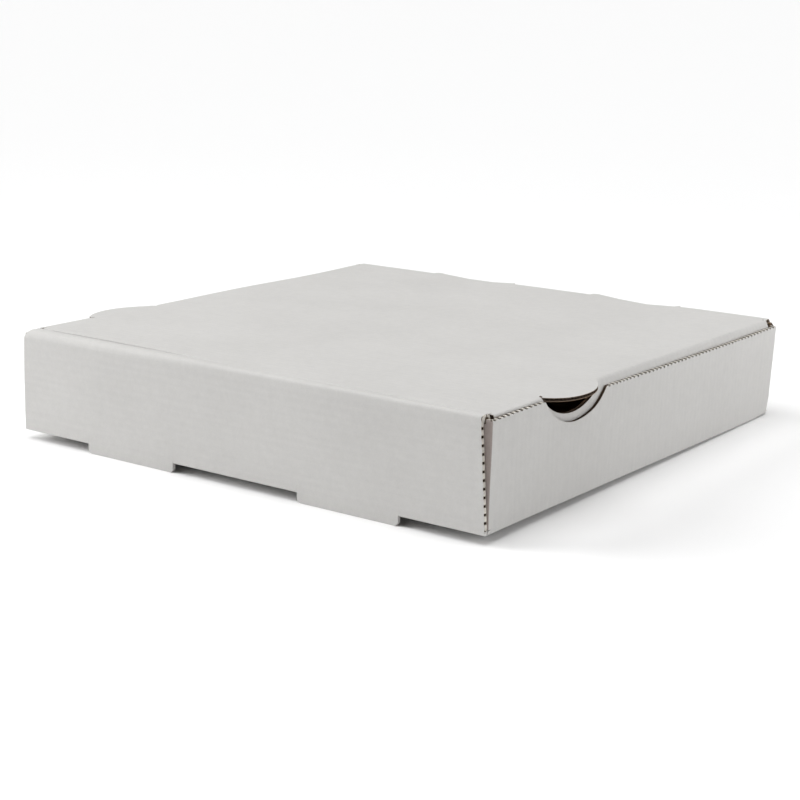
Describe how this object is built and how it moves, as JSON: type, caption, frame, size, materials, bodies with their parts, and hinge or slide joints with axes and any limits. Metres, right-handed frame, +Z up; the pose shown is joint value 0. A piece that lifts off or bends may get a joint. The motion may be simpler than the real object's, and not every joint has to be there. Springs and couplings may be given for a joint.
{
  "type": "pizza box",
  "caption": "Shut pizza box folded from white corrugated board, with a hinged lid that tucks inside the tray, thumb notches at the sides and a rolled double front wall.",
  "frame": {"origin": "centre of the bounding box on the plane of the front slot tongues' tips, which the box stands on", "axes": "+Z up, -Y towards the rolled front wall, +Y towards the hinge, +X to the right seen from the front"},
  "size_m": [0.2694, 0.2606, 0.0519],
  "materials": {
    "board_tray": "matte",
    "board_lid": "matte"
  },
  "bodies": {
    "tray": {"tray": "board_tray"},
    "lid": {"lid": "board_lid"}
  },
  "joints": [
    {"name": "lid_hinge", "type": "hinge", "parent": "tray", "child": "lid", "pos_m": [0, 0.1261, 0.0511], "axis": [-1, 0, 0], "range_deg": [0, 180]}
  ]
}
